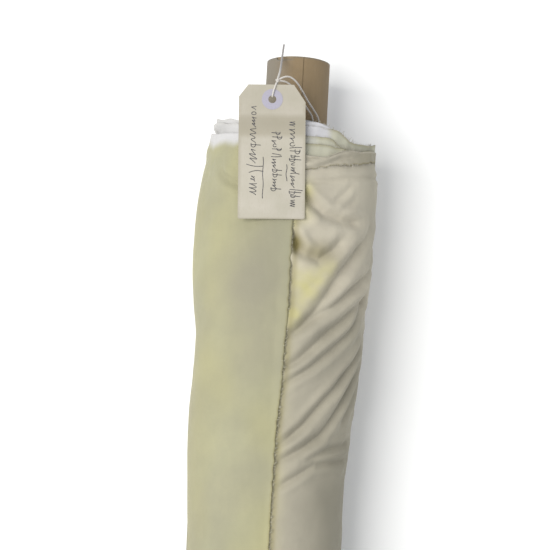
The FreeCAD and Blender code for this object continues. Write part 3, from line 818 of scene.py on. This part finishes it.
def outer_turn_coats(angle, along, hem, folded):
    """Yellow beside the free end; darker below 556 mm along; painted shade on the right side, turned from
    the lamp; the hem duller, more so to the right, its cut edge darkened for bare backing and painted
    shade; painted shade in two folds, in the pit and beside the free end's edge.
    """
    # The hem's cut edge darkened: bare backing, and painted shade along it.
    cut = folded * smooth((1.6 - (along - hem)) / 1.2)
    # Painted shade in the pit beside the free end's edge.
    pit = patch(angle, along, 84.5, 576.0, 4.5, 6.5)
    # Painted shade in two folds; the one at 611 mm along is also a brown stain.
    stain_and_fold_shade = 1.2 * patch(angle, along, 80, 611.0, 5.5, 9.0)
    stain_and_fold_shade = stain_and_fold_shade + 1.6 * patch(angle, along, 70, 570.0, 14.0, 8.0)
    # Painted shadow on the strip beside the free end's lifted edge.
    edge = free_end_edge_angle(along, 0.0)
    beside = bell((angle - edge + 2.6) / 2.3) * smooth((640 - along) / 30)
    # Darker below 556 mm along.
    dusty = 0.58 * smooth((556 - along) / 50)
    # Darker toward the right side: painted shade on the side turned from the lamp.
    dusty = dusty + 0.3 * smooth((440 - along) / 60) * smooth((80 - angle) / 40)
    dusty = dusty + 0.35 * smooth((45 - angle) / 30) * smooth((along - 540) / 30)
    dusty = dusty + 0.18 * smooth((55 - angle) / 50) * smooth((500 - along) / 40)
    warm = yellow_patches(angle, along)
    dusty = dusty * (1 - 0.7 * warm)
    left = smooth((-95 - angle) / 45)
    warm = warm + 0.5 * left
    dusty = dusty + (0.5 - dusty) * left
    plain = other_selvedge(along)
    # The hem duller, more so to the right.
    dusty = np.maximum(dusty, folded * (0.25 + 0.35 * smooth((60 - angle) / 40)))
    dusty = dusty * (0.96 + 0.12 * cloth_noise(67, angle, along, 70.0))
    bare = 0.5 * cut + 0.75 * pit + 0.36 * stain_and_fold_shade + 0.42 * beside + 0.12 * left
    bare = (bare + 0.14 * folded * smooth((58 - angle) / 25)) * (1 - plain)
    dusty = np.clip(dusty, 0, 1) * (1 - plain)
    return {"warm": warm, "plain": plain, "bare": np.clip(bare, 0, 1), "dusty": dusty}


def build_outer_turn(material):
    """The slack last turn: creased on its right side, its tagged end folded back as a raw hem."""
    angle, along, hem, folded, radius = outer_turn_grid()
    coats = outer_turn_coats(angle, along, hem, folded)
    made = build_cloth("outer_turn", place(angle, radius, along), SLACK_PLY, material, **coats)
    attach(made, "roll")
    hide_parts("velvet_outer_turn")


def yellow_patches(angle, along):
    """Where the outer turn's nap still shows clear yellow, beside the free end; the small patch at 90
    degrees and 592 mm is painted warm shade under the foot of the tag.
    """
    blobs = [
        (60, 559, 6, 7, 0.6), (67, 549, 8, 8, 0.8), (75, 538, 8, 11, 1.0), (83, 521, 7, 13, 1.0),
        (84, 549, 9, 10, 0.6), (82, 619, 7, 8, 1.0), (84, 600, 9, 8, 0.6), (90, 592, 4, 7, 0.9),
    ]
    total = 0.5 * bell((angle - 91) / 8) * smooth((550 - along) / 60)
    for centre, middle, spread, length, weight in blobs:
        total = total + weight * patch(angle, along, centre, middle, spread, length)
    return np.clip(total * (0.8 + 0.4 * cloth_noise(70, angle, along, 26.0)), 0, 1)


def free_end_edge_angle(along, roughness=0.6):
    """The cut edge's angle, with its small raw teeth."""
    rough = wave_noise(81, along, 0.0, 9.0, 3) * roughness
    return 90.0 - np.degrees(np.arcsin((FREE_EDGE(along) + rough) / FLAP_CROWN(along)))


def free_end_radius(angle, along):
    """The free end's radius: from the slack left side up and over, down onto the outer turn."""
    share = smooth((180.0 - angle) / 90.0)
    radius = LEFT(along) + (FLAP_CROWN(along) - LEFT(along)) * share
    hold = smooth((178 - angle) / 20) * smooth((angle - 90) / 8)
    slack = 0.4 + 0.7 * smooth((along - 555) / 50)
    radius = radius + hold * cloth_noise(82, angle, along, 110.0) * 1.3
    radius = radius + hold * wave_noise(83, angle * DEGREE - along * 0.5, along, 38.0) * slack
    line, depth, width = FLAP_CREASE
    radius = radius + crease_offset(angle, along, line, depth, width)
    lifted = smooth((97.0 - angle) / 7.0) * smooth((585.0 - along) / 30.0)
    return radius + lifted * (0.9 + 0.5 * wave_noise(86, along, 0.0, 30.0, 2))


def build_free_end(material):
    """The free end, one piece over the roll's whole length: pinned by the tag, loose further down."""
    stops = spaced([(OTHER_END, -640, 4.0), (-640, 300, 9.0), (300, 676, 1.6)])
    turn = np.linspace(0, 1, 96)[:, None]
    angle = 180.0 + (free_end_edge_angle(stops)[None, :] - 180.0) * turn
    tagged = curve_through(FLAP_END)(angle) + wave_noise(84, angle, 0.0, 40.0) * 0.6
    along = OTHER_END + (tagged - OTHER_END) * shares(stops)
    points = place(angle, free_end_radius(angle, along), along)
    dyed = curve_through(FLAP_DYED)(angle) + wave_noise(85, angle, along * 0.2, 22.0) * 3.0
    plain = 0.88 * np.maximum(smooth((along - dyed) / 8.0), other_selvedge(along, -672.0))
    # Darkened within about 1.7 mm of the cut edge: bare backing, and painted shade along the lifted edge.
    raw = smooth((1.7 - (1 - turn) * 105.0) / 1.3)
    warm = 0.5 * smooth(0.5 + 0.7 * cloth_noise(87, angle, along * 0.6, 90.0, 2))
    brown = patch(angle, along, 112, 540.0, 22, 55.0)
    dusty = 0.22 * smooth(0.4 + 0.8 * cloth_noise(88, angle, along * 0.7, 70.0)) + 0.62 * brown
    dusty = dusty + 0.25 * smooth((angle - 138) / 25) * smooth((500 - along) / 50)
    made = build_cloth(
        "free_end", points, SLACK_PLY, material,
        plain=plain, bare=0.55 * raw, warm=warm * (1 - brown), dusty=dusty * (1 - plain),
    )
    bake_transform(made)
    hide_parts("velvet_free_end_pinned", "velvet_free_end")


def build_fray(material):
    """Cut yarns that stand out like a comb along the free end's raw edge."""
    draw = np.random.default_rng(91)
    along = np.cumsum(draw.uniform(0.9, 2.9, 720)) - 682.0
    along = along[along < 640.0]
    count = len(along)
    angle = free_end_edge_angle(along)
    radius = free_end_radius(angle, along) - 0.35
    roots = place(angle + 0.9, radius, along)
    reach = draw.uniform(0.9, 3.0, count) * (0.45 + 0.55 * smooth((560.0 - along) / 80.0))
    tips = place(angle - np.degrees(reach / radius), radius - draw.uniform(0.2, 1.0, count),
                 along + draw.normal(0.3, 1.3, count))
    bows = draw.normal(0, 0.0002, (count, 3))
    bows[:, 1] -= draw.uniform(0.0002, 0.0007, count)
    made = hair_object("free_end_fray", hair_arrays(roots, tips, bows, 0.0008), material)
    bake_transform(made)


def build_selvedge_threads(material):
    """Short pale yarns on the raw edges of the loose turns and of the hem at the tagged end."""
    draw = np.random.default_rng(92)
    parts = []
    lines = [(ends, LEVELS[n], 1, 1.3) for n, ends in enumerate(LOOSE_ENDS)]
    lines += [(HEM_END, 1.0, -1, 0.8), (FOLD_END, 1.0, 1, 1.8)]
    for ends, level, way, spacing in lines:
        angle = np.arange(-50.0, 92.0, spacing)
        angle = angle + draw.uniform(-0.5, 0.5, len(angle)) * spacing
        count = len(angle)
        along = curve_through(ends)(angle)
        radius = layer_radius(angle, along, level)
        if level == 1.0:
            radius += 1.2 - 1.9 * smooth((26 - angle) / 24)
        tangled = 1.0 + 1.2 * bell((angle - 48) / 14)
        roots = place(angle, radius - 0.2, along - 0.7 * way)
        lift = draw.uniform(-0.1, 0.6, count) * tangled
        tips = place(angle + draw.normal(0, 0.8, count) * tangled, radius + lift,
                     along + way * draw.uniform(0.4, 1.7, count) * tangled)
        bows = draw.normal(0, 0.00022, (count, 3))
        parts += hair_arrays(roots, tips, bows, 0.00032)
    made = hair_object("selvedge_threads", parts, material)
    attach(made, "roll")


# ---------------------------------------------------------------- the tube


def build_tube_wrap(material):
    """The kraft wrap round the tube: its edges meet in an open joint; its end is torn back a little."""
    seam = 81.0
    gap = 0.22
    angle = np.linspace(seam + gap, seam + 360.0 - gap, 220)[:, None]
    torn = 2.4 * smooth((angle - 98) / 4) * smooth((136 - angle) / 5)
    ragged = wave_noise(101, angle, 0.0, 14.0, 3) * 0.35
    tagged = TUBE_END / MM - 0.3 - torn - np.abs(ragged)
    other = -TUBE_END / MM + 0.3 + np.abs(wave_noise(102, angle, 0.0, 18.0, 3)) * 0.4
    share = np.concatenate([np.linspace(0, 0.045, 22), [0.3, 0.6], np.linspace(0.955, 1, 44)])[None, :]
    along = other + (tagged - other) * share
    lift = smooth((seam + 9 - angle) / 8) * 0.22 + smooth((along - tagged + 5) / 5) * smooth(torn) * 0.35
    radius = TUBE_RADIUS / MM + 0.25 + lift + wave_noise(103, angle * 0.46, along, 50.0, 2) * 0.08
    points = place(angle, radius, along)
    # Paler and greyer over the left side, which faces the lamp.
    paler = smooth((angle - 92) / 52) * smooth((300 - angle) / 60)
    worn = smooth((along - tagged + 1.6) / 1.4)
    grey = np.clip(0.75 * paler + 0.45 * worn, 0, 1)
    made = build_cloth("tube_wrap", points, WRAP_PLY, material, outward=False, plain=grey)
    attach(made, "roll")
    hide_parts("core_outer_ply")


# ---------------------------------------------------------------- the tag

KNOT = (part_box("tag_string_knot")[0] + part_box("tag_string_knot")[1]) / 2
TAG_TURN = math.radians(2.7)
CARD_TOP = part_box("tag_card")[1].z


def card_height(down):
    """The card's mid-height over the knot, by its distance down from the knot, in metres."""
    rise = CARD_TOP - CARD_PLY / 2 - KNOT.z
    return rise * smooth((down - 27 * MM) / (18 * MM))


def card_point(across, down, lift=0.0):
    """A point on the card: metres to the right of its centre line and down from the knot."""
    drop = across**2 * 6.0 * smooth((down - 0.045) / 0.06)
    x, y = across - 4.0 * MM, -down
    turned = Vector((
        x * math.cos(TAG_TURN) - y * math.sin(TAG_TURN), x * math.sin(TAG_TURN) + y * math.cos(TAG_TURN),
        card_height(down) - drop * 0.3 + lift,
    ))
    return KNOT + turned


CARD_HALF, CARD_FOOT = 0.027, 0.1145


def card_mesh():
    """The flat card as a fine grid: clipped corners and a punched hole, y down from the knot."""
    half, top, bottom = CARD_HALF, 0.0035, CARD_FOOT
    hole, hole_radius = np.array([0.0, top + 0.0122, 0.0]), 0.00325
    outline = [
        (-half + 0.0075, top), (half - 0.0095, top), (half, top + 0.0145), (half, bottom - 0.001),
        (half - 0.001, bottom), (-half + 0.001, bottom), (-half, bottom - 0.001), (-half, top + 0.010),
    ]
    shape = bmesh.new()
    rim = []
    for a, b in zip(outline, outline[1:] + outline[:1]):
        a, b = Vector(a), Vector(b)
        pieces = max(1, round((b - a).length / 0.0016))
        rim += [a.lerp(b, t / pieces) for t in range(pieces)]
    outer = [shape.verts.new((p.x, p.y, 0)) for p in rim]
    inner = [shape.verts.new(p) for p in ring_points(hole, X_WAY, Y_WAY, hole_radius, 36)]
    edges = [shape.edges.new(pair) for ring in (outer, inner) for pair in zip(ring, ring[1:] + ring[:1])]
    bmesh.ops.triangle_fill(shape, use_beauty=True, edges=edges)
    cuts = [((0, down, 0), (0, 1, 0)) for down in np.arange(0.005, bottom, 0.0022)]
    cuts += [((across, 0, 0), (1, 0, 0)) for across in np.arange(-half + 0.003, half, 0.003)]
    for point, normal in cuts:
        everything = shape.verts[:] + shape.edges[:] + shape.faces[:]
        bmesh.ops.bisect_plane(shape, geom=everything, plane_co=point, plane_no=normal)
    bmesh.ops.recalc_face_normals(shape, faces=shape.faces)
    made = bpy.data.meshes.new("card")
    shape.to_mesh(made)
    shape.free()
    return made


def build_card(material):
    """The card, bent over the string, with grimy edges, painted shade across the bend, and a slightly
    darker upper part.
    """
    mesh = card_mesh()
    flat = np.array([v.co for v in mesh.vertices])
    for vertex in mesh.vertices:
        vertex.co = card_point(vertex.co.x, vertex.co.y)
    mesh.materials.append(material)
    made = add_object("card", mesh)
    down = flat[:, 1]
    inset = np.minimum(CARD_HALF - np.abs(flat[:, 0]), CARD_FOOT - down)
    # Painted shade across the bend, where the card slopes.
    bend = smooth((down - 0.024) / 0.008) * smooth((0.050 - down) / 0.006)
    upper = smooth((0.034 - down) / 0.01)
    grime_and_shade = np.maximum.reduce([0.5 * smooth(1 - inset / 0.0016), 0.55 * bend, 0.2 * upper])
    put_attribute(made, "plain", grime_and_shade)
    thick = made.modifiers.new("ply", "SOLIDIFY")
    thick.thickness = CARD_PLY
    thick.offset = 0
    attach(made, "tag")
    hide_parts("tag_card")


PEN_WIDTH = 0.00055
PEN_LIFT = 0.00034  # the middle of a pen line over the middle of the card
PEN_RISE = 0.00009  # half a pen line's height


def pen_stroke(line):
    """One pen line on the card from its (across, down) points: a low ridge with four sides."""
    points = np.array([card_point(a, d, PEN_LIFT) for a, d in line])
    side = np.cross(np.gradient(points, axis=0), Z_WAY)
    side /= np.maximum(np.linalg.norm(side, axis=1, keepdims=True), 1e-9)
    ring = []
    for a, b in ((1, 0), (0, 1), (-1, 0), (0, -1)):
        ring.append(points + side * a * PEN_WIDTH / 2 + Z_WAY * b * PEN_RISE)
    vertices = np.stack(ring, 1).reshape(-1, 3)
    return vertices, ring_quads(len(points), 4) + ring_caps(len(points), 4)


def pen_wave(draw, across, down, tall):
    """A run of low waves, each a little different. Like the other marks: its lines and its length."""
    bumps = int(draw.integers(1, 4))
    t = np.linspace(0, 1, 20 * bumps)
    size = np.interp(t, np.linspace(0, 1, bumps + 2), draw.uniform(0.2, 0.6, bumps + 2)) * tall
    loops = draw.uniform(-0.0003, 0.0012) * np.sin(2 * math.pi * bumps * t + draw.uniform(0.6, 1.6))
    length = bumps * tall * draw.uniform(0.22, 0.40)
    swing = size * np.cos(2 * math.pi * bumps * t) / 2
    return [zip(across - tall * 0.2 + swing, down + t * length + loops)], length


def pen_oval(draw, across, down, tall):
    t = np.linspace(0.3, 2 * math.pi + draw.uniform(-0.9, 0.8), 26)
    wide = tall * draw.uniform(0.13, 0.22)
    high = tall * draw.uniform(0.15, 0.26)
    return [zip(across - tall * 0.2 + high * np.cos(t), down + wide + wide * np.sin(t))], 2 * wide


def pen_bar(draw, across, down, tall):
    lean = tall * draw.uniform(-0.1, 0.2)
    low = draw.choice([-0.75, -0.45, -0.45])
    t = np.linspace(0, 1, 14)
    hook = tall * draw.uniform(-0.12, 0.12) * np.sin(t * 3.0)
    return [zip(across + tall * (low + (0.6 - low) * t), down + 0.0006 + lean * t + hook)], tall * 0.18


def pen_stem(draw, across, down, tall):
    """A tall bar with a round bow at its top or foot."""
    t = np.linspace(-0.4, math.pi + 0.5, 20)
    middle = draw.choice([-0.2, 0.28])
    bow = tall * draw.uniform(0.17, 0.3)
    upright = zip(across + tall * np.linspace(-0.45, 0.55, 12), down + np.linspace(0, 0.0005, 12))
    curl = zip(across + tall * middle + 0.24 * tall * np.cos(t), down + bow * np.sin(t))
    return [upright, curl], bow


def scribble(draw, across, start, end, tall):
    """Marks in no particular order, with gaps like those between words."""
    lines, down = [], start
    while down < end - 0.005:
        kind = draw.choice([pen_wave, pen_wave, pen_oval, pen_bar, pen_stem])
        made, length = kind(draw, across + draw.normal(0, 0.0004), down, tall * draw.uniform(0.75, 1.15))
        lines += made
        down += length
        down += draw.uniform(0.0007, 0.0019)
        if draw.uniform() < 0.14:
            down += 0.0035
    return lines


def build_pen_lines(material):
    """Meaningless pen strokes in place of handwriting: three rows of marks and two long dashes."""
    draw = np.random.default_rng(121)
    lines = scribble(draw, 0.0185, 0.034, 0.107, 0.0090)
    lines += scribble(draw, 0.0035, 0.044, 0.097, 0.0078)
    lines += scribble(draw, -0.0130, 0.021, 0.096, 0.0100)
    lines.append([(0.0120 + 0.0004 * math.sin(k), 0.070 + 0.0017 * k) for k in range(9)])
    lines.append([(-0.0070 + 0.0003 * math.sin(k * 0.7), 0.064 + 0.0020 * k) for k in range(18)])
    made = new_object("pen_lines", *join_arrays([pen_stroke(line) for line in lines]), material)
    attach(made, "tag")


# ---------------------------------------------------------------- the string

STRING = 0.0012
TWIST = 0.0052  # the length of one turn of its three plies
STAND_OFF = 2.05 * MM

LEAD_LONG = [
    mm(19.4, 685.0, 84.3), mm(19.0, 688.6, 86.4), mm(14.8, 692.6, 95.0), mm(9.2, 698.0, 104.6),
    mm(4.2, 704.2, 114.0), mm(-1.0, 709.8, 122.4), mm(-6.6, 712.6, 128.4), mm(-12.0, 711.4, 131.2),
    KNOT + Vector((0.78, 0.60, -0.14)).normalized() * STAND_OFF,
]
LEAD_SHORT = [
    mm(14.4, 685.0, 88.1), mm(13.8, 688.8, 90.6), mm(9.8, 692.2, 97.6), mm(4.8, 697.2, 106.2),
    mm(-0.4, 702.6, 115.0), mm(-5.6, 706.8, 123.0), mm(-10.6, 708.4, 128.6),
    KNOT + Vector((0.80, 0.10, -0.58)).normalized() * STAND_OFF,
]
TAIL = [
    KNOT + Vector((0.05, 0.62, -0.78)).normalized() * STAND_OFF,
    mm(-16.0, 712.6, 125.4), mm(-15.2, 718.0, 116.6), mm(-14.8, 723.6, 106.4), mm(-14.4, 729.8, 96.8),
    mm(-14.0, 738.6, 90.0), mm(-13.2, 748.8, 87.6),
]
LOOP_LIFT = 0.25 + 0.2 + 0.6 + 0.3
LOOP = [
    (-0.75, -1.9, 0.4), (-1.6, -4.6, LOOP_LIFT - 0.1), (-3.0, -8.4, LOOP_LIFT + 0.05),
    (-4.0, -13.2, LOOP_LIFT), (-4.0, -13.2, -LOOP_LIFT),
    (-3.5, -10.4, -LOOP_LIFT - 2.2), (-2.4, -8.2, -LOOP_LIFT - 6.2), (-0.8, -3.6, -LOOP_LIFT - 5.8),
    (-0.1, -1.3, -1.7),
]


def line_points(points):
    """Points read from a smooth NURBS line that has the route's points as its control points."""
    data = bpy.data.curves.new("route", "CURVE")
    data.dimensions = "3D"
    data.resolution_u = 14
    spline = data.splines.new("NURBS")
    spline.points.add(len(points) - 1)
    for point, at in zip(spline.points, points):
        point.co = (*at, 1)
    spline.order_u = 3
    spline.use_endpoint_u = True
    line = add_object("route", data)
    mesh = bpy.data.meshes.new_from_object(line)
    found = np.array([v.co for v in mesh.vertices])
    bpy.data.meshes.remove(mesh)
    bpy.data.objects.remove(line)
    return found


def build_string(name, points, body, node, length, far_end, lay, material, thickness):
    """Three-ply string as one closed mesh that follows its route."""
    path = line_points(points)
    way = np.gradient(path, axis=0)
    way /= np.linalg.norm(way, axis=1, keepdims=True)
    side = np.cross(way[0], [0.2, 0.3, 0.9])
    around = 15
    travelled = np.concatenate([[0], np.cumsum(np.linalg.norm(np.diff(path, axis=0), axis=1))])
    rings = []
    for centre, ahead, distance in zip(path, way, travelled):
        side = side - ahead * (side @ ahead)
        side /= np.linalg.norm(side)
        other = np.cross(ahead, side)
        turn = np.linspace(0, 2 * math.pi, around, endpoint=False)[:, None]
        ply = thickness + 0.16 * np.cos(3 * (turn - 2 * math.pi * distance / TWIST))
        rings.append(ring_points(centre, side, other, STRING / 2 * ply, around))
    faces = ring_quads(len(rings), around) + ring_caps(len(rings), around)
    made = new_object(name, np.concatenate(rings), faces, material)
    # Painted shade: the tail goes grey toward its free end.
    shaded_end = smooth(travelled / travelled[-1] * 1.6) * (0.85 if far_end == "bare" else 0.0)
    put_attribute(made, "grey", np.repeat(shaded_end, around))
    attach(made, body)
    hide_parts(node)
    tuple(points[0])


def build_knot(material):
    """An overhand knot pulled tight: one closed coil of string round the crossing point."""
    steps = 90
    t = np.linspace(0, 2 * math.pi, steps, endpoint=False)
    size = 0.00062
    path = np.stack([
        (np.sin(t) + 2 * np.sin(2 * t)) * size * 0.62,
        (np.cos(t) - 2 * np.cos(2 * t)) * size * 0.62,
        -np.sin(3 * t) * size,
    ], -1) + np.array(KNOT)
    way = np.roll(path, -1, axis=0) - np.roll(path, 1, axis=0)
    way /= np.linalg.norm(way, axis=1, keepdims=True)
    around = 12
    rings = []
    for centre, ahead in zip(path, way):
        side = np.cross(ahead, Z_WAY)
        side /= np.linalg.norm(side)
        rings.append(ring_points(centre, side, np.cross(ahead, side), 0.00058, around))
    faces = ring_quads(steps, around, closed=True)
    made = new_object("string_knot", np.concatenate(rings), faces, material)
    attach(made, "string_knot")
    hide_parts("tag_string_knot")


# ---------------------------------------------------------------- making everything

build_camera()
build_stage()

string = cotton_string()
turned = Matrix.Rotation(TAG_TURN, 3, "Z")
loop = [KNOT + turned @ mm(*p) for p in LOOP]
for name, points, body, node, length, far_end, lay, thickness in (
    ("string_lead_long", LEAD_LONG, "roll", "tag_string_lead_long", 0.069, "knot", "hanging", 1.12),
    ("string_lead_short", LEAD_SHORT, "roll", "tag_string_lead_short", 0.059, "knot", "hanging", 1.12),
    ("string_tail", TAIL, "roll", "tag_string_tail", 0.061, "bare", "hanging", 1.35),
    ("string_loop", loop, "tag", "tag_string_loop", 0.032, "object", "loose", 1.12),
):
    build_string(name, points, body, node, length, far_end, lay, string, thickness)
build_knot(string)

rolled = velvet("velvet_rolled", (0.52, 0.515, 0.415), (0.43, 0.42, 0.335), (0.52, 0.48, 0.24))
turn = velvet("velvet_turn", (0.53, 0.49, 0.395), (0.44, 0.405, 0.33), (0.50, 0.465, 0.235))
flap = velvet("velvet_flap", (0.355, 0.343, 0.225), (0.31, 0.302, 0.207), (0.375, 0.352, 0.175))
build_rolled_cloth(rolled)
build_loose_turns(rolled)
build_outer_turn(turn)
build_free_end(flap)
build_fray(threads("raw_yarn", (0.62, 0.59, 0.46), (0.40, 0.36, 0.22)))
build_selvedge_threads(threads("pale_yarn", (0.56, 0.53, 0.46), (0.36, 0.33, 0.27)))

board = kraft("tube_board", (0.27, 0.21, 0.14), (0.21, 0.16, 0.10), (0.36, 0.33, 0.29))
wrap = kraft("tube_wrap", (0.240, 0.176, 0.102), (0.20, 0.145, 0.082), (0.19, 0.177, 0.15))
build_tube_wrap(wrap)
build_card(manila())
build_pen_lines(ink())
ring_paper = paper("ring_paper", (0.36, 0.345, 0.41), (0.32, 0.305, 0.365))
tape = paper("masking_tape", (0.62, 0.54, 0.34), (0.52, 0.45, 0.27))
for node, material in (
    ("core_tube", board), ("core_start_tape", tape),
    ("tag_ring_front", ring_paper), ("tag_ring_back", ring_paper),
):
    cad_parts[node].data.materials.clear()
    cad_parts[node].data.materials.append(material)
